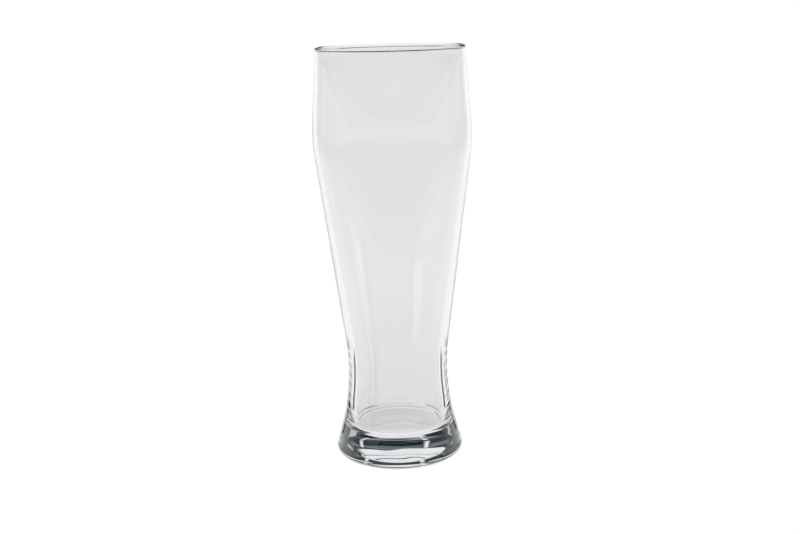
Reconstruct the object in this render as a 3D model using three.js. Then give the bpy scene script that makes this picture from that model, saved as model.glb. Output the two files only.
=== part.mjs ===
// Wheat beer glass: a heavy foot, a tall waisted bowl and a melted rim, with one short fill line.
// Millimetres, +Z up. The origin is on the glass's axis, in the plane that it stands on.
import * as THREE from 'three';

// Heights above the table.
const TOTAL_HEIGHT = 223;
const SHOULDER_HEIGHT = 175;
const WAIST_HEIGHT = 40.2;
const FLOOR_HEIGHT = 16.2;
const BOWL_FLOOR = 4;
const PUNT_HEIGHT = 1.5;

// Outside diameters. The shoulder, waist and foot are measured where two straight flanks
// would meet, before the corner between them is rounded.
const RIM_DIAMETER = 78.8;
const SHOULDER_DIAMETER = 85.4;
const WAIST_DIAMETER = 50;
const FOOT_DIAMETER = 72.5;

// Radii that round those corners, the corner round the inner floor, and the heel of the foot.
const SHOULDER_ROUNDING = 97;
const WAIST_ROUNDING = 128;
const FLOOR_ROUNDING = 3.5;
const HEEL_ROUNDING = 3.6;

// Wall, measured level. The hollow's waist lies a little higher than the outer one.
const RIM_WALL = 2;
const SHOULDER_WALL = 2.35;
const WAIST_WALL = 3.1;
const FLOOR_WALL = 6.8;
const HOLLOW_WAIST_RISE = 9;

// How far the rim's bead stands proud of each side of the wall.
const BEAD_SWELL = 0.15;

// Flat ring under the foot that the glass stands on.
const BEARING_WIDTH = 12;

// Fill line: a printed stroke on the outside, turned to the left of the front, which faces -Y.
const FILL_LINE_HEIGHT = 185;
const FILL_LINE_LENGTH = 6;
const FILL_LINE_STROKE = 0.6;
const FILL_LINE_THICKNESS = 0.2;
const FILL_LINE_GAP = 0.05;
const FILL_LINE_TURN = THREE.MathUtils.degToRad(27);

// Facets round the axis, and half the steps of each arc in an outline.
const FACETS = 72;
const HALF_ARC_STEPS = 4;
const HALF_BEAD_STEPS = 8;

// Sizes that follow from the ones above.
const footTop = FLOOR_HEIGHT - BOWL_FLOOR;
const beadRadius = RIM_WALL / 2 + BEAD_SWELL;
const beadCentre = new THREE.Vector2(RIM_DIAMETER / 2 - beadRadius, TOTAL_HEIGHT - beadRadius);
const beadSeatDrop = Math.sqrt(beadRadius ** 2 - (RIM_WALL / 2) ** 2);
const beadSeatHeight = beadCentre.y - beadSeatDrop;

// Corners of the outer outline: x is the radius and y the height.
const footCorner = new THREE.Vector2(FOOT_DIAMETER / 2, 0);
const waistCorner = new THREE.Vector2(WAIST_DIAMETER / 2, WAIST_HEIGHT);
const shoulderCorner = new THREE.Vector2(SHOULDER_DIAMETER / 2, SHOULDER_HEIGHT);
const rimOuter = new THREE.Vector2(beadCentre.x + RIM_WALL / 2, beadSeatHeight);
const footEdge = pointAtHeight(footCorner, waistCorner, footTop);

// Corners of the hollow, set in from the outer ones by the wall.
const rimInner = new THREE.Vector2(beadCentre.x - RIM_WALL / 2, beadSeatHeight);
const hollowShoulder = new THREE.Vector2(shoulderCorner.x - SHOULDER_WALL, SHOULDER_HEIGHT);
const hollowWaist = new THREE.Vector2(waistCorner.x - WAIST_WALL, WAIST_HEIGHT + HOLLOW_WAIST_RISE);
const floorEdge = pointAtHeight(footCorner, waistCorner, FLOOR_HEIGHT);
const floorCorner = new THREE.Vector2(floorEdge.x - FLOOR_WALL, FLOOR_HEIGHT);
const floorCentre = new THREE.Vector2(0, FLOOR_HEIGHT);

// Point of the line through two points that lies at a height.
function pointAtHeight(low, high, height) {
  return low.clone().lerp(high, (height - low.y) / (high.y - low.y));
}

// Arc that rounds a corner and touches both flanks, made smaller where a flank is too short for it.
function cornerArc(before, corner, after, rounding) {
  const back = before.clone().sub(corner);
  const onward = after.clone().sub(corner);
  const room = Math.min(back.length(), onward.length());
  const clockwise = onward.cross(back) < 0;
  back.normalize();
  onward.normalize();
  const halfAngle = Math.acos(back.dot(onward)) / 2;
  const radius = Math.min(rounding, room * Math.tan(halfAngle));
  const reach = radius / Math.tan(halfAngle);
  const middle = back.clone().add(onward).normalize();
  const centre = corner.clone().addScaledVector(middle, radius / Math.sin(halfAngle));
  const start = corner.clone().addScaledVector(back, reach);
  const end = corner.clone().addScaledVector(onward, reach);
  return { centre, radius, start, end, clockwise };
}

// Draws the path on to an arc and along it.
function followArc(path, arc) {
  const startAngle = arc.start.clone().sub(arc.centre).angle();
  const endAngle = arc.end.clone().sub(arc.centre).angle();
  path.absarc(arc.centre.x, arc.centre.y, arc.radius, startAngle, endAngle, arc.clockwise);
}

// Points of a path, without those that repeat the one before.
function outlinePoints(path, halfArcSteps) {
  const points = path.getPoints(halfArcSteps);
  return points.filter((point, i) => i === 0 || point.distanceTo(points[i - 1]) > 1e-6);
}

// Solid of revolution about Z from an outline that runs upwards on its outside.
function turned(points) {
  const geometry = new THREE.LatheGeometry(points, FACETS);
  return geometry.rotateX(Math.PI / 2);
}

// Outside radius of the wall that an outline draws, at a height.
function outsideRadius(points, height) {
  const above = points.findIndex((point) => point.y > height);
  return pointAtHeight(points[above - 1], points[above], height).x;
}

// Foot: solid glass, hollowed below by the punt, flat on its bearing ring, with a round heel.
function footOutline() {
  const heel = cornerArc(new THREE.Vector2(0, 0), footCorner, footEdge, HEEL_ROUNDING);
  const puntEdge = heel.start.x - BEARING_WIDTH;
  const puntRadius = (puntEdge ** 2 + PUNT_HEIGHT ** 2) / (2 * PUNT_HEIGHT);
  const puntAngle = Math.asin(puntEdge / puntRadius);
  const upright = Math.PI / 2;
  const path = new THREE.Path();
  path.absarc(0, PUNT_HEIGHT - puntRadius, puntRadius, upright, upright - puntAngle, true);
  followArc(path, heel);
  path.lineTo(footEdge.x, footTop);
  path.lineTo(0, footTop);
  return outlinePoints(path, HALF_ARC_STEPS);
}

// Bowl: a cup with its own floor on the foot, up the outside to the bead's seat and down the hollow.
function bowlOutline() {
  const path = new THREE.Path();
  path.moveTo(0, footTop);
  path.lineTo(footEdge.x, footTop);
  followArc(path, cornerArc(footEdge, waistCorner, shoulderCorner, WAIST_ROUNDING));
  followArc(path, cornerArc(waistCorner, shoulderCorner, rimOuter, SHOULDER_ROUNDING));
  path.lineTo(rimOuter.x, beadSeatHeight);
  path.lineTo(rimInner.x, beadSeatHeight);
  followArc(path, cornerArc(rimInner, hollowShoulder, hollowWaist, SHOULDER_ROUNDING));
  followArc(path, cornerArc(hollowShoulder, hollowWaist, floorCorner, WAIST_ROUNDING));
  followArc(path, cornerArc(hollowWaist, floorCorner, floorCentre, FLOOR_ROUNDING));
  path.lineTo(0, FLOOR_HEIGHT);
  return outlinePoints(path, HALF_ARC_STEPS);
}

// Rim bead: a round section, flat where it sits on the top of the wall.
function beadOutline() {
  const path = new THREE.Path();
  const seatAngle = Math.asin(beadSeatDrop / beadRadius);
  path.absarc(beadCentre.x, beadCentre.y, beadRadius, -seatAngle, Math.PI + seatAngle, false);
  const points = outlinePoints(path, HALF_BEAD_STEPS);
  return [...points, points[0].clone()];
}

// Fill line: a thin band that follows the wall, just outside it.
function fillLineGeometry(wallRadius) {
  const inner = wallRadius + FILL_LINE_GAP;
  const outer = inner + FILL_LINE_THICKNESS;
  const middle = -Math.PI / 2 - FILL_LINE_TURN;
  const half = FILL_LINE_LENGTH / 2 / wallRadius;
  const band = new THREE.Shape();
  band.absarc(0, 0, outer, middle - half, middle + half, false);
  band.absarc(0, 0, inner, middle + half, middle - half, true);
  const settings = { depth: FILL_LINE_STROKE, bevelEnabled: false, curveSegments: HALF_ARC_STEPS };
  return new THREE.ExtrudeGeometry(band, settings);
}

// Clear soda-lime glass, as a fresh material for each piece.
function clearGlass() {
  const looks = { color: 0xe4ebea, roughness: 0.03, metalness: 0, transparent: true, opacity: 0.35 };
  return new THREE.MeshStandardMaterial(looks);
}

function piece(name, geometry, material) {
  const mesh = new THREE.Mesh(geometry, material);
  mesh.name = name;
  return mesh;
}

const bowlPoints = bowlOutline();
const fillLineFoot = FILL_LINE_HEIGHT - FILL_LINE_STROKE / 2;
const wallAtFillLine = Math.max(
  outsideRadius(bowlPoints, fillLineFoot),
  outsideRadius(bowlPoints, fillLineFoot + FILL_LINE_STROKE),
);
const printWhite = new THREE.MeshStandardMaterial({ color: 0xeeeeec, roughness: 0.55, metalness: 0 });
const fillLine = piece('fill_line', fillLineGeometry(wallAtFillLine), printWhite);
fillLine.position.z = fillLineFoot;

const wheatBeerGlass = new THREE.Group();
wheatBeerGlass.add(piece('foot', turned(footOutline()), clearGlass()));
wheatBeerGlass.add(piece('bowl', turned(bowlPoints), clearGlass()));
wheatBeerGlass.add(piece('rim_bead', turned(beadOutline()), clearGlass()));
wheatBeerGlass.add(fillLine);

export default wheatBeerGlass;
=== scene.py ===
"""Wheat beer glass: one continuous glass, its fill line and a lit table in a dim studio.

Lengths are in metres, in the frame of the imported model: +Z up, the glass's axis at x = y = 0,
the table at z = 0 and the camera on the side of -Y.
"""
import logging
import math
from dataclasses import dataclass, replace
from enum import IntEnum
from typing import Any

import bmesh
import bpy
from mathutils import Matrix, Vector, noise


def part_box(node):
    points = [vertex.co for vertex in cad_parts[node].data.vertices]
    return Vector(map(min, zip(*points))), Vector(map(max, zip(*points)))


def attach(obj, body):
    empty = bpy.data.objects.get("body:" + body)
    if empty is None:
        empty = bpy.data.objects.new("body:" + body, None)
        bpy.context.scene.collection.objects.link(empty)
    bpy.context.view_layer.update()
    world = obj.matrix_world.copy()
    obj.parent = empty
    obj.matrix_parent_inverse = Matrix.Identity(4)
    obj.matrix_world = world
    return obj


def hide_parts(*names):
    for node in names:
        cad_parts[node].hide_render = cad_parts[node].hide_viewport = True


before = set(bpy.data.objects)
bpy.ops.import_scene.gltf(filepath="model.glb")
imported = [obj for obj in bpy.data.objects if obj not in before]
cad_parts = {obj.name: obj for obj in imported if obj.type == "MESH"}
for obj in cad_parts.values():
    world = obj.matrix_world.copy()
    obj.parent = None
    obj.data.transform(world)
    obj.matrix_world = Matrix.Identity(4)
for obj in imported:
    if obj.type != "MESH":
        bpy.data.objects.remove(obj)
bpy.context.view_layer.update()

log = logging.getLogger("wheat_beer_glass")

Colour = tuple[float, float, float]
BRIGHT: Colour = (1.6, 1.6, 1.6)
WHITE: Colour = (1.0, 1.0, 1.0)
PALE: Colour = (0.45, 0.56, 0.60)
TEAL: Colour = (0.13, 0.19, 0.21)
BLACK: Colour = (0.0, 0.0, 0.0)

MM = 0.001
# A shorter line isn't drawn, and points that are closer than this become one.
SHORTEST_LINE = 1e-7
MERGE_DISTANCE = 1e-6


class Surface(IntEnum):
    """The stretch of the glass's outline that a vertex was drawn on."""

    UNDERSIDE = 1
    OUTSIDE = 2
    RIM = 3
    HOLLOW = 4


class Side(IntEnum):
    """A side of the wall, as the direction that it faces: away from the axis or towards it."""

    OUTER = 1
    INNER = -1


class Value:
    """A shader value: arithmetic on it adds Math nodes to its graph."""

    def __init__(self, graph: "Graph", socket: bpy.types.NodeSocket) -> None:
        """Wrap a socket.

        Args:
            graph: The graph that new nodes go into.
            socket: The output socket that holds the value.
        """
        self.graph = graph
        self.socket = socket

    def _math(self, operation: str, first: "Value | float", second: "Value | float") -> "Value":
        """Return the result of a new Math node."""
        return self.graph.value("ShaderNodeMath", {"operation": operation}, {0: first, 1: second})

    def __add__(self, other: "Value | float") -> "Value":
        """Return self + other."""
        return self._math("ADD", self, other)

    def __radd__(self, other: float) -> "Value":
        """Return other + self."""
        return self._math("ADD", other, self)

    def __sub__(self, other: "Value | float") -> "Value":
        """Return self - other."""
        return self._math("SUBTRACT", self, other)

    def __rsub__(self, other: float) -> "Value":
        """Return other - self."""
        return self._math("SUBTRACT", other, self)

    def __mul__(self, other: "Value | float") -> "Value":
        """Return self * other."""
        return self._math("MULTIPLY", self, other)

    def __rmul__(self, other: float) -> "Value":
        """Return other * self."""
        return self._math("MULTIPLY", other, self)

    def __pow__(self, other: float) -> "Value":
        """Return self to a power."""
        return self._math("POWER", self, other)

    def __abs__(self) -> "Value":
        """Return the size of self."""
        return self._math("ABSOLUTE", self, 0.0)


class Graph:
    """The node tree of a material or the world, with an empty start."""

    def __init__(self, owner: bpy.types.Material | bpy.types.World) -> None:
        """Turn on the owner's nodes and clear them.

        Args:
            owner: What the nodes belong to.
        """
        owner.use_nodes = True
        self.tree = owner.node_tree
        self.tree.nodes.clear()

    def node(self, kind: str, settings: dict[str, Any], inputs: dict[str | int, Any]) -> bpy.types.Node:
        """Add a node.

        Args:
            kind: The node's type.
            settings: Its properties, set first.
            inputs: Its sockets by name or number: plain values, or Values and sockets to link.

        Returns:
            The new node.
        """
        made = self.tree.nodes.new(kind)
        for name, setting in settings.items():
            setattr(made, name, setting)
        for name, given in inputs.items():
            link = given.socket if isinstance(given, Value) else given
            if isinstance(link, bpy.types.NodeSocket):
                self.tree.links.new(link, made.inputs[name])
            else:
                made.inputs[name].default_value = given
        return made

    def value(
        self,
        kind: str,
        settings: dict[str, Any],
        inputs: dict[str | int, Any],
        out: str | int = 0,
    ) -> Value:
        """Add a node and wrap one of its outputs.

        Args:
            kind: The node's type.
            settings: Its properties, as for node.
            inputs: Its sockets, as for node.
            out: The output's name or number.

        Returns:
            The wrapped output.
        """
        return Value(self, self.node(kind, settings, inputs).outputs[out])

    def place(self) -> bpy.types.NodeSocket:
        """Return the object's own coordinates."""
        return self.node("ShaderNodeTexCoord", {}, {}).outputs["Object"]

    def along(self, axis: str) -> Value:
        """Return the object's own coordinate along "X", "Y" or "Z"."""
        return self.value("ShaderNodeSeparateXYZ", {}, {0: self.place()}, axis)

    def cloud(self, size: float, detail: float = 2.0, twist: float = 0.0) -> Value:
        """Add a cloudy pattern.

        Args:
            size: How large its clouds are.
            detail: How much finer ones lie on them.
            twist: How far they are pulled out of shape.

        Returns:
            The pattern, from 0 to 1.
        """
        inputs = {"Vector": self.place(), "Scale": 1 / size, "Detail": detail, "Distortion": twist}
        return self.value("ShaderNodeTexNoise", {}, inputs)

    def smooth_range(self, value: Value, low: float, high: float, at_low: float, at_high: float) -> Value:
        """Add a smooth change from one number to another, as a value rises through a range.

        Args:
            value: What rises.
            low: Where the change starts.
            high: Where it ends.
            at_low: The number up to the start.
            at_high: The number from the end on.

        Returns:
            The number at the value.
        """
        return self.value(
            "ShaderNodeMapRange",
            {"interpolation_type": "SMOOTHSTEP"},
            {"Value": value, "From Min": low, "From Max": high, "To Min": at_low, "To Max": at_high},
        )

    def mix(
        self,
        share: Value,
        first: Colour | bpy.types.NodeSocket,
        second: Colour | bpy.types.NodeSocket,
    ) -> bpy.types.NodeSocket:
        """Add a mix of two colours.

        Args:
            share: How much of the second colour is in it.
            first: A colour, or a socket that holds one.
            second: A colour, or a socket that holds one.

        Returns:
            The socket that holds the mix.
        """
        ends = [(*end, 1.0) if isinstance(end, tuple) else end for end in (first, second)]
        # A Mix node has its colours in inputs 6 and 7 and their mix in output 2.
        mixed = self.node("ShaderNodeMix", {"data_type": "RGBA"}, {0: share, 6: ends[0], 7: ends[1]})
        return mixed.outputs[2]

    def surface(self, inputs: dict[str | int, Any], others: dict[str | int, Any] | None = None) -> None:
        """Close a material's graph with its shader.

        Args:
            inputs: The shader's sockets, as for node.
            others: What the material's output takes besides the shader, if anything.
        """
        shader = self.node("ShaderNodeBsdfPrincipled", {}, inputs)
        self.node("ShaderNodeOutputMaterial", {}, {"Surface": shader.outputs[0], **(others or {})})


@dataclass(frozen=True)
class ClearGlass:
    """Clear soda-lime glass with faint smears, a blue-green tint where thick, and painted shade low down."""

    name: str = "clear_glass"
    tint: Colour = (0.905, 0.897, 0.910)
    smear_tint: Colour = (0.885, 0.879, 0.890)
    # Painted shade: a darker tint for the lower glass, in full up to the first height below and gone by the
    # second.
    painted_shade_tint: Colour = (0.848, 0.842, 0.852)
    painted_shade_full_below: float = 40 * MM
    painted_shade_gone_from: float = 110 * MM
    ior: float = 1.52
    depth_tint: Colour = (0.45, 0.80, 0.82)
    depth_density: float = 1.2
    smear_size: float = 30 * MM
    smear_detail: float = 4.0
    smear_twist: float = 0.6
    smear_sharpness: float = 3.0
    least_roughness: float = 0.002
    smear_roughness: float = 0.012

    def make(self) -> bpy.types.Material:
        """Make the material.

        Returns:
            The material.
        """
        material = bpy.data.materials.new(self.name)
        graph = Graph(material)
        smear = graph.cloud(self.smear_size, self.smear_detail, self.smear_twist) ** self.smear_sharpness
        # Painted shade: the glass's colour is darker towards the bottom and blends into the plain tint higher
        # up.
        clear = graph.smooth_range(graph.along("Z"), self.painted_shade_full_below, self.painted_shade_gone_from, 0.0, 1.0)
        tint_with_painted_shade = graph.mix(clear, self.painted_shade_tint, self.tint)
        depth = graph.node(
            "ShaderNodeVolumeAbsorption",
            {},
            {"Color": (*self.depth_tint, 1.0), "Density": self.depth_density},
        )
        graph.surface(
            {
                "Base Color": graph.mix(smear, tint_with_painted_shade, self.smear_tint),
                "Roughness": self.least_roughness + self.smear_roughness * smear,
                "IOR": self.ior,
                "Transmission Weight": 1.0,
            },
            {"Volume": depth.outputs[0]},
        )
        return material


@dataclass(frozen=True)
class FillPrint:
    """Very faint frosted print, broken up a little by wear."""

    name: str = "fill_print"
    colour: Colour = (0.86, 0.86, 0.87)
    roughness: float = 0.6
    grain_roughness: float = 0.2
    grain_size: float = 0.8 * MM
    faintest: float = 0.01
    strongest: float = 0.05

    def make(self) -> bpy.types.Material:
        """Make the material.

        Returns:
            The material.
        """
        material = bpy.data.materials.new(self.name)
        graph = Graph(material)
        grain = graph.cloud(self.grain_size)
        graph.surface(
            {
                "Base Color": (*self.colour, 1.0),
                "Roughness": self.roughness + self.grain_roughness * grain,
                "Alpha": self.faintest + (self.strongest - self.faintest) * grain,
            }
        )
        return material


@dataclass(frozen=True)
class LightTable:
    """Opal white sheet with a trace of tooth, lit from below, most round the glass and behind it."""

    name: str = "light_table"
    colour: Colour = (0.1, 0.1, 0.1)
    roughness: float = 0.8
    tooth_roughness: float = 0.2
    tooth_size: float = 4 * MM
    gloss: float = 0.1
    glow: float = 1.0
    dim_glow: float = 0.6
    lit_front: float = -0.11
    front_fade: float = 0.25
    lit_half_width: float = 0.25
    lit_spread: float = 0.45
    side_fade: float = 0.5

    def make(self) -> bpy.types.Material:
        """Make the material.

        Returns:
            The material.
        """
        material = bpy.data.materials.new(self.name)
        graph = Graph(material)
        back = graph.along("Y")
        inside = self.lit_half_width + self.lit_spread * back - abs(graph.along("X"))
        lit = graph.smooth_range(back, self.lit_front - self.front_fade, self.lit_front, 0.0, 1.0)
        lit = lit * graph.smooth_range(inside, -self.side_fade, 0.0, 0.0, 1.0)
        graph.surface(
            {
                "Base Color": (*self.colour, 1.0),
                "Roughness": self.roughness + self.tooth_roughness * graph.cloud(self.tooth_size),
                "Specular IOR Level": self.gloss,
                "Emission Color": self.dim_glow + (self.glow - self.dim_glow) * lit,
                "Emission Strength": 1.0,
            }
        )
        return material


@dataclass(frozen=True)
class PanelGlow:
    """Light of an upright panel: even in the middle, fading out towards its edges."""

    colour: Colour
    side_fade: float = 1 * MM
    low_fade: float = 1 * MM
    high_fade: float = 1 * MM
    bow: float = 0.0

    def make(self, panel: "Panel") -> bpy.types.Material:
        """Make the material for one panel.

        Args:
            panel: The panel that gives the light its edges.

        Returns:
            The material.
        """
        material = bpy.data.materials.new(panel.name)
        graph = Graph(material)
        side = graph.along("X")
        up = graph.along("Z")
        inside = panel.half_width - abs(side - panel.middle)
        bowed = up - self.bow * abs(side) ** 2.0
        share = graph.smooth_range(inside, 0.0, self.side_fade, 0.0, 1.0)
        share = share * graph.smooth_range(bowed, panel.low, panel.low + self.low_fade, 0.0, 1.0)
        share = share * graph.smooth_range(up, panel.high - self.high_fade, panel.high, 1.0, 0.0)
        graph.surface(
            {
                "Base Color": (*BLACK, 1.0),
                "Specular IOR Level": 0.0,
                "Emission Color": graph.mix(share, BLACK, self.colour),
                "Emission Strength": 1.0,
            }
        )
        return material


@dataclass(frozen=True)
class DeadBlack:
    """Black of a card that gives back no light."""

    def make(self, panel: "Panel") -> bpy.types.Material:
        """Make the material for one card.

        Args:
            panel: The card that gives the material its name.

        Returns:
            The material.
        """
        material = bpy.data.materials.new(panel.name)
        Graph(material).surface({"Base Color": (*BLACK, 1.0), "Specular IOR Level": 0.0})
        return material


@dataclass(frozen=True)
class Arc:
    """An arc in the outline's plane, where x is the radius from the axis and y the height."""

    centre: Vector
    start: Vector
    angle: float

    @classmethod
    def rounding(cls, before: Vector, corner: Vector, after: Vector, radius: float) -> "Arc":
        """Round a corner with an arc that touches both its flanks.

        Args:
            before: A point on the flank that leads to the corner.
            corner: The corner.
            after: A point on the flank that leaves the corner.
            radius: The arc's radius.

        Returns:
            The arc, from the first flank to the second.
        """
        back = (before - corner).normalized()
        onward = (after - corner).normalized()
        half = back.angle(onward) / 2
        centre = corner + (back + onward).normalized() * (radius / math.sin(half))
        start = corner + back * (radius / math.tan(half))
        side = 1 if back.cross(onward) < 0 else -1
        return cls(centre, start, side * (math.pi - 2 * half))

    @property
    def end(self) -> Vector:
        """The point where the arc ends."""
        return self.centre + Matrix.Rotation(self.angle, 2) @ (self.start - self.centre)

    def reversed(self) -> "Arc":
        """Return the same arc, drawn from its end to its start."""
        return Arc(self.centre, self.end, -self.angle)


class OutlinePen:
    """Draws an outline in the XZ plane of a bmesh, as one chain of edges."""

    def __init__(self, mesh: bmesh.types.BMesh, start: Vector, step: float) -> None:
        """Put the pen down.

        Args:
            mesh: The bmesh to draw in.
            start: Radius and height of the first point.
            step: The longest straight edge to draw.
        """
        self.mesh = mesh
        self.step = step
        self.mark = mesh.verts.layers.int.new("surface")
        self.surface = Surface.UNDERSIDE
        self.tip = mesh.verts.new((start.x, 0, start.y))
        self.tip[self.mark] = self.surface

    def line_to(self, end: Vector) -> None:
        """Draw a straight stretch.

        Args:
            end: Radius and height of its end.
        """
        run = Vector((end.x, 0, end.y)) - self.tip.co
        if run.length < SHORTEST_LINE:
            return
        pieces = math.ceil(run.length / self.step)
        for _ in range(pieces):
            made = bmesh.ops.extrude_vert_indiv(self.mesh, verts=[self.tip])
            self.tip = made["verts"][0]
            bmesh.ops.translate(self.mesh, verts=[self.tip], vec=run / pieces)
            self.tip[self.mark] = self.surface

    def follow(self, arc: Arc, steps: int) -> None:
        """Draw a straight stretch to an arc, and then the arc.

        Args:
            arc: The arc.
            steps: The edges that it takes.
        """
        self.line_to(arc.start)
        drawn = set(self.mesh.verts)
        made = bmesh.ops.spin(
            self.mesh,
            geom=[self.tip],
            cent=(arc.centre.x, 0, arc.centre.y),
            axis=(0, -1, 0),
            angle=arc.angle,
            steps=steps,
        )
        self.tip = next(part for part in made["geom_last"] if isinstance(part, bmesh.types.BMVert))
        for vert in self.mesh.verts:
            if vert not in drawn:
                vert[self.mark] = self.surface


@dataclass(frozen=True)
class Ripple:
    """Slow unevenness of a glass surface."""

    depth: float
    across: float
    along: float

    def at(self, place: Vector) -> float:
        """Return the depth at a place, from minus to plus the greatest depth."""
        spot = Vector((place.x / self.across, place.y / self.across, place.z / self.along))
        return self.depth * noise.noise(spot)


@dataclass
class GlassBody:
    """The whole glass as one closed surface: foot, bowl and rim with no seam between them."""

    height: float
    rim_radius: float
    foot_corner: Vector = Vector((36.25, 0)) * MM
    waist_corner: Vector = Vector((25, 40.2)) * MM
    shoulder_corner: Vector = Vector((42.69, 175)) * MM
    shoulder_rounding: float = 97 * MM
    waist_rounding: float = 128 * MM
    heel_rounding: float = 3.6 * MM
    floor_height: float = 16.2 * MM
    floor_rounding: float = 3.5 * MM
    rim_wall: float = 2 * MM
    bead_swell: float = 0.15 * MM
    bead_fillet: float = 1 * MM
    shoulder_wall: float = 2.35 * MM
    waist_wall: float = 3.1 * MM
    hollow_waist_rise: float = 9 * MM
    floor_wall: float = 6.8 * MM
    ring_inner: float = 19.5 * MM
    ring_outer: float = 20.5 * MM
    skirt_slope: float = math.radians(3)
    punt_height: float = 1.5 * MM
    wall_ripple: Ripple = Ripple(depth=0.03 * MM, across=16 * MM, along=80 * MM)
    wall_ripple_fade: float = 15 * MM
    base_ripple: Ripple = Ripple(depth=0.07 * MM, across=8 * MM, along=8 * MM)
    base_ripple_fade: float = 3 * MM
    turns: int = 192
    wall_step: float = 3 * MM
    base_step: float = 0.6 * MM
    long_arc_steps: int = 48
    arc_steps: int = 24
    bead_steps: int = 36
    fillet_steps: int = 12

    def build(self) -> bpy.types.Object:
        """Make the glass.

        Returns:
            Its object.
        """
        mesh = bmesh.new()
        pen = OutlinePen(mesh, Vector((0, self.punt_height)), self.base_step)
        self._draw_underside(pen)
        self._draw_outside(pen)
        self._draw_rim(pen)
        self._draw_hollow(pen)
        turn_outline(mesh, self.turns)
        self._ripple(mesh)
        return mesh_object("wheat_beer_glass", mesh)

    def dress(self, glass: bpy.types.Object, finish: ClearGlass) -> None:
        """Give the glass its finish and its place in the model.

        Args:
            glass: The glass's object.
            finish: What it is made of.
        """
        glass.data.materials.append(finish.make())
        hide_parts("foot", "bowl", "rim_bead")
        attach(glass, "root")

    @property
    def foot_flank(self) -> Vector:
        """The run from the foot's corner up to the waist's."""
        return self.waist_corner - self.foot_corner

    @property
    def ring_edge(self) -> Vector:
        """The outer edge of the ring that the glass stands on."""
        return Vector((self.ring_outer, 0))

    @property
    def hollow_shoulder(self) -> Vector:
        """The hollow's corner at the shoulder."""
        return self.shoulder_corner - Vector((self.shoulder_wall, 0))

    @property
    def hollow_waist(self) -> Vector:
        """The hollow's corner at the waist."""
        return self.waist_corner + Vector((-self.waist_wall, self.hollow_waist_rise))

    @property
    def bead_radius(self) -> float:
        """The radius of the rim's round section."""
        return self.rim_wall / 2 + self.bead_swell

    @property
    def bead_centre(self) -> Vector:
        """The middle of the rim's round section."""
        return Vector((self.rim_radius - self.bead_radius, self.height - self.bead_radius))

    @property
    def outer_fillet(self) -> Arc:
        """The fillet from the outside of the wall up to the rim's bead."""
        return self._fillet(self.shoulder_corner, Side.OUTER)

    @property
    def inner_fillet(self) -> Arc:
        """The fillet from the hollow's wall up to the rim's bead."""
        return self._fillet(self.hollow_shoulder, Side.INNER)

    def _fillet(self, shoulder: Vector, side: Side) -> Arc:
        """Work out a fillet between the wall and the rim's bead.

        Args:
            shoulder: The corner that this side of the wall comes from.
            side: The side of the wall.

        Returns:
            The fillet, from the wall up to the bead.
        """
        half_wall = self.rim_wall / 2
        to_bead = self.bead_radius + self.bead_fillet
        to_middle = half_wall + self.bead_fillet
        along = (self.bead_centre + Vector((side * half_wall, 0)) - shoulder).normalized()
        outward = side * Vector((along.y, -along.x))
        wall_end = self.bead_centre + outward * half_wall - along * math.sqrt(to_bead**2 - to_middle**2)
        centre = wall_end + outward * self.bead_fillet
        bead_start = self.bead_centre + (centre - self.bead_centre).normalized() * self.bead_radius
        turn = (wall_end - centre).angle(bead_start - centre)
        return Arc(centre, wall_end, -side * turn)

    def _heel(self) -> Arc:
        """Work out the heel, which rounds the corner between the skirt and the foot's flank.

        Returns:
            The heel, from the skirt upwards.
        """
        skirt = Vector((1, math.tan(self.skirt_slope)))
        lean = -self.foot_flank.x / self.foot_flank.y
        reach = (self.foot_corner.x - self.ring_outer) / (1 + skirt.y * lean)
        corner = self.ring_edge + skirt * reach
        return Arc.rounding(self.ring_edge, corner, self.waist_corner, self.heel_rounding)

    def _draw_underside(self, pen: OutlinePen) -> None:
        """Draw the punt, the ring that the glass stands on and the skirt outside it.

        Args:
            pen: The pen, in the middle of the underside.
        """
        radius = (self.ring_inner**2 + self.punt_height**2) / (2 * self.punt_height)
        apex = Vector((0, self.punt_height))
        punt = Arc(apex - Vector((0, radius)), apex, -math.asin(self.ring_inner / radius))
        pen.follow(punt, self.arc_steps)
        pen.line_to(self.ring_edge)
        pen.line_to(self._heel().start)

    def _draw_outside(self, pen: OutlinePen) -> None:
        """Draw the heel, the waist and the shoulder.

        Args:
            pen: The pen, at the end of the skirt.
        """
        wall_end = self.outer_fillet.start
        waist = Arc.rounding(self.foot_corner, self.waist_corner, self.shoulder_corner, self.waist_rounding)
        shoulder = Arc.rounding(self.waist_corner, self.shoulder_corner, wall_end, self.shoulder_rounding)
        pen.surface = Surface.OUTSIDE
        pen.step = self.wall_step
        pen.follow(self._heel(), self.arc_steps)
        pen.follow(waist, self.long_arc_steps)
        pen.follow(shoulder, self.long_arc_steps)
        pen.line_to(wall_end - Vector((0, self.bead_fillet / 2)))

    def _draw_rim(self, pen: OutlinePen) -> None:
        """Draw the rim's bead and the fillets on both sides of it.

        Args:
            pen: The pen, just below the outer fillet.
        """
        bead_start = self.outer_fillet.end
        first = bead_start - self.bead_centre
        last = self.inner_fillet.end - self.bead_centre
        turn = math.atan2(last.y, last.x) - math.atan2(first.y, first.x)
        pen.surface = Surface.RIM
        pen.follow(self.outer_fillet, self.fillet_steps)
        pen.follow(Arc(self.bead_centre, bead_start, turn % math.tau), self.bead_steps)
        pen.follow(self.inner_fillet.reversed(), self.fillet_steps)

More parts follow.
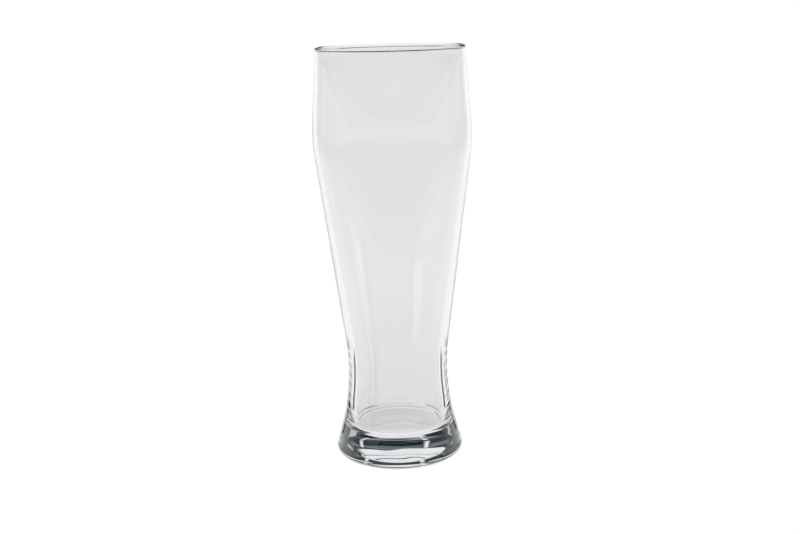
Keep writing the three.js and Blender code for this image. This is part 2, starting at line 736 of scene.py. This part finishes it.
    def _draw_hollow(self, pen: OutlinePen) -> None:
        """Draw the hollow down to the middle of its floor.

        Args:
            pen: The pen, at the end of the inner fillet.
        """
        wall_end = self.inner_fillet.start
        floor_edge = self.foot_corner + self.foot_flank * (self.floor_height / self.foot_flank.y)
        floor_corner = floor_edge - Vector((self.floor_wall, 0))
        floor_centre = Vector((0, self.floor_height))
        shoulder = Arc.rounding(wall_end, self.hollow_shoulder, self.hollow_waist, self.shoulder_rounding)
        waist = Arc.rounding(self.hollow_shoulder, self.hollow_waist, floor_corner, self.waist_rounding)
        floor_round = Arc.rounding(self.hollow_waist, floor_corner, floor_centre, self.floor_rounding)
        pen.surface = Surface.HOLLOW
        pen.line_to(wall_end - Vector((0, self.bead_fillet / 2)))
        pen.follow(shoulder, self.long_arc_steps)
        pen.follow(waist, self.long_arc_steps)
        pen.follow(floor_round, self.arc_steps)
        pen.line_to(floor_centre)

    def _ripple(self, mesh: bmesh.types.BMesh) -> None:
        """Make the hollow and the underside a little uneven, as in blown and pressed glass.

        Args:
            mesh: The glass's shape.
        """
        mesh.normal_update()
        mark = mesh.verts.layers.int["surface"]
        skirt_end = max(vert.co.xy.length for vert in mesh.verts if vert[mark] == Surface.UNDERSIDE)
        for vert in mesh.verts:
            if vert[mark] == Surface.HOLLOW:
                strength = min(1.0, (self.height - vert.co.z) / self.wall_ripple_fade)
                vert.co += vert.normal * strength * self.wall_ripple.at(vert.co)
            elif vert[mark] == Surface.UNDERSIDE:
                strength = min(1.0, (skirt_end - vert.co.xy.length) / self.base_ripple_fade)
                vert.co.z += strength * (self.base_ripple.depth + self.base_ripple.at(vert.co))


@dataclass
class FillLine:
    """The short fill line on the near side, which keeps its solid from the model."""

    finish: FillPrint

    def dress(self) -> bpy.types.Object:
        """Give the line its finish.

        Returns:
            Its object.
        """
        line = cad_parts["fill_line"]
        line.data.materials.clear()
        line.data.materials.append(self.finish.make())
        return line


@dataclass(frozen=True)
class Panel:
    """An upright light or dark card, which only the glass shows and the camera doesn't see."""

    name: str
    behind: float
    middle: float
    half_width: float
    low: float
    high: float
    finish: PanelGlow | DeadBlack

    def build(self) -> None:
        """Make the panel and give it its finish."""
        mesh = bmesh.new()
        bmesh.ops.create_grid(mesh, x_segments=1, y_segments=1, size=1.0)
        half_height = (self.high - self.low) / 2
        centre = Vector((self.middle, self.behind, self.low + half_height))
        bmesh.ops.scale(mesh, verts=mesh.verts[:], vec=(self.half_width, half_height, 1))
        bmesh.ops.rotate(mesh, verts=mesh.verts[:], matrix=Matrix.Rotation(math.pi / 2, 3, "X"))
        bmesh.ops.translate(mesh, verts=mesh.verts[:], vec=centre)
        panel = mesh_object(self.name, mesh)
        panel.data.materials.append(self.finish.make(self))
        panel.visible_camera = False


# The big light behind the glass, which the foot shows as a bright lens.
BACK_PANEL = Panel(
    name="back_panel", behind=0.45, middle=-0.08, half_width=0.36, low=0.228, high=1.30,
    finish=PanelGlow(WHITE, side_fade=0.10, low_fade=0.010, high_fade=0.15, bow=1.0),
)
# One more just behind it, further to the right, which fills the lower half of that lens.
TOP_PANEL = Panel(
    name="top_panel", behind=0.46, middle=0.10, half_width=0.34, low=0.50, high=1.30,
    finish=PanelGlow(WHITE, side_fade=0.10, low_fade=0.08, high_fade=0.15),
)
# What lies further back in the room: a dim wall, two windows and two narrow lights.
DUSK_PANEL = Panel(
    name="dusk_panel", behind=1.60, middle=0.0, half_width=1.30, low=0.50, high=0.90,
    finish=PanelGlow(TEAL, side_fade=0.3, low_fade=0.12),
)
LEFT_WINDOW = Panel(
    name="left_window", behind=0.85, middle=-0.85, half_width=0.22, low=0.50, high=0.90,
    finish=PanelGlow(PALE, side_fade=0.10, low_fade=0.08, high_fade=0.10),
)
RIGHT_WINDOW = replace(LEFT_WINDOW, name="right_window", middle=0.85)
LEFT_STRIP = Panel(
    name="left_strip", behind=1.50, middle=-0.38, half_width=0.075, low=0.26, high=0.86,
    finish=PanelGlow(WHITE, side_fade=0.07, low_fade=0.08, high_fade=0.1),
)
RIGHT_STRIP = replace(LEFT_STRIP, name="right_strip", middle=0.64)
# Cards close to the glass: one for its gleam, one for the rim's dark line and two for those of the wall.
GLEAM_CARD = Panel(
    name="gleam_card", behind=-0.05, middle=-0.095, half_width=0.05, low=0.02, high=0.11,
    finish=PanelGlow(BRIGHT, side_fade=0.02, low_fade=0.02, high_fade=0.01),
)
RIM_CARD = Panel(
    name="rim_card", behind=0.10, middle=0.0, half_width=0.09, low=0.235, high=0.263,
    finish=DeadBlack(),
)
LEFT_CARD = Panel(
    name="left_card", behind=0.0315, middle=-0.06, half_width=0.006, low=0.002, high=0.034,
    finish=DeadBlack(),
)
RIGHT_CARD = replace(LEFT_CARD, name="right_card", middle=0.06)
PANELS = (
    BACK_PANEL, TOP_PANEL, DUSK_PANEL, LEFT_WINDOW, RIGHT_WINDOW, LEFT_STRIP, RIGHT_STRIP,
    GLEAM_CARD, RIM_CARD, LEFT_CARD, RIGHT_CARD,
)


@dataclass
class Studio:
    """Lit white table with an upturned edge, panels in a dim room, and the camera.

    The camera's distance and height are counted in glass heights.
    """

    glass_height: float
    heights_away: float = 2.6415
    eye_in_heights: float = 1.0786
    lens: float = 50.0
    sensor: float = 36.0
    pitch: float = math.radians(12.986)
    yaw: float = math.radians(0.237)
    roll: float = math.radians(1.402)
    dish_radius: float = 1.5
    dish_depth: float = 0.2
    dish_rounding: float = 0.08
    table_radius: float = 6.0
    edge_height: float = 0.37
    table_gap: float = 0.15 * MM
    table_step: float = 10.0
    table_turns: int = 96
    corner_steps: int = 12
    room: Colour = (0.014, 0.019, 0.021)
    panels: tuple[Panel, ...] = PANELS
    glass_bounces: int = 40
    gloss_bounces: int = 16

    def build(self) -> None:
        """Make the table, the light and the camera."""
        self._table()
        self._room()
        for panel in self.panels:
            panel.build()
        self._camera()
        scene = bpy.context.scene
        scene.view_settings.view_transform = "Standard"
        scene.cycles.use_denoising = True
        scene.cycles.max_bounces = self.glass_bounces
        scene.cycles.transmission_bounces = self.glass_bounces
        scene.cycles.glossy_bounces = self.gloss_bounces

    def _table(self) -> None:
        """Make the table as a wide round dish with a brim, a hair below the glass."""
        middle = Vector((0, -self.table_gap))
        foot = Vector((self.dish_radius, -self.table_gap))
        brim = Vector((self.dish_radius, self.dish_depth))
        edge = Vector((self.table_radius, self.dish_depth))
        top = Vector((self.table_radius, self.edge_height))
        mesh = bmesh.new()
        pen = OutlinePen(mesh, middle, self.table_step)
        for before, corner, after in ((middle, foot, brim), (foot, brim, edge), (brim, edge, top)):
            pen.follow(Arc.rounding(before, corner, after, self.dish_rounding), self.corner_steps)
        pen.line_to(top)
        turn_outline(mesh, self.table_turns)
        table = mesh_object("floor", mesh)
        table.data.materials.append(LightTable().make())

    def _room(self) -> None:
        """Leave the room dim."""
        world = bpy.data.worlds.new("room")
        bpy.context.scene.world = world
        graph = Graph(world)
        light = graph.node("ShaderNodeBackground", {}, {"Color": (*self.room, 1.0), "Strength": 1.0})
        graph.node("ShaderNodeOutputWorld", {}, {"Surface": light.outputs[0]})

    def _camera(self) -> None:
        """Put the camera where the photograph was taken from."""
        data = bpy.data.cameras.new("camera")
        data.lens = self.lens
        data.sensor_width = self.sensor
        data.sensor_fit = "HORIZONTAL"
        camera = bpy.data.objects.new("camera", data)
        bpy.context.scene.collection.objects.link(camera)
        turn = Matrix.Rotation(-self.yaw, 3, "Z") @ Matrix.Rotation(math.pi / 2 - self.pitch, 3, "X")
        camera.rotation_euler = (turn @ Matrix.Rotation(-self.roll, 3, "Z")).to_euler()
        camera.location = (0, -self.heights_away * self.glass_height, self.eye_in_heights * self.glass_height)
        bpy.context.scene.camera = camera


def turn_outline(mesh: bmesh.types.BMesh, turns: int) -> None:
    """Turn an outline once about Z, into a smooth skin.

    Args:
        mesh: The bmesh that holds the outline.
        turns: The facets round the axis.
    """
    bmesh.ops.spin(
        mesh,
        geom=mesh.verts[:] + mesh.edges[:],
        cent=(0, 0, 0),
        axis=(0, 0, 1),
        angle=math.tau,
        steps=turns,
        use_merge=True,
    )
    bmesh.ops.remove_doubles(mesh, verts=mesh.verts[:], dist=MERGE_DISTANCE)
    bmesh.ops.recalc_face_normals(mesh, faces=mesh.faces[:])
    for face in mesh.faces:
        face.smooth = True


def mesh_object(name: str, mesh: bmesh.types.BMesh) -> bpy.types.Object:
    """Turn a bmesh into an object in the scene.

    Args:
        name: The object's name.
        mesh: Its shape, which is freed.

    Returns:
        The object, at the origin.
    """
    data = bpy.data.meshes.new(name)
    mesh.to_mesh(data)
    mesh.free()
    made = bpy.data.objects.new(name, data)
    bpy.context.scene.collection.objects.link(made)
    return made


def main() -> None:
    """Build the glass, dress it and set up the studio."""
    logging.basicConfig(level=logging.INFO)
    rim_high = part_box("rim_bead")[1]
    body = GlassBody(height=rim_high[2], rim_radius=rim_high[0])
    glass = body.build()
    body.dress(glass, ClearGlass())
    log.info("%s: %d faces", glass.name, len(glass.data.polygons))
    line = FillLine(FillPrint()).dress()
    log.info("%s: kept from the model", line.name)
    Studio(glass_height=body.height).build()


if __name__ == "__main__":
    main()
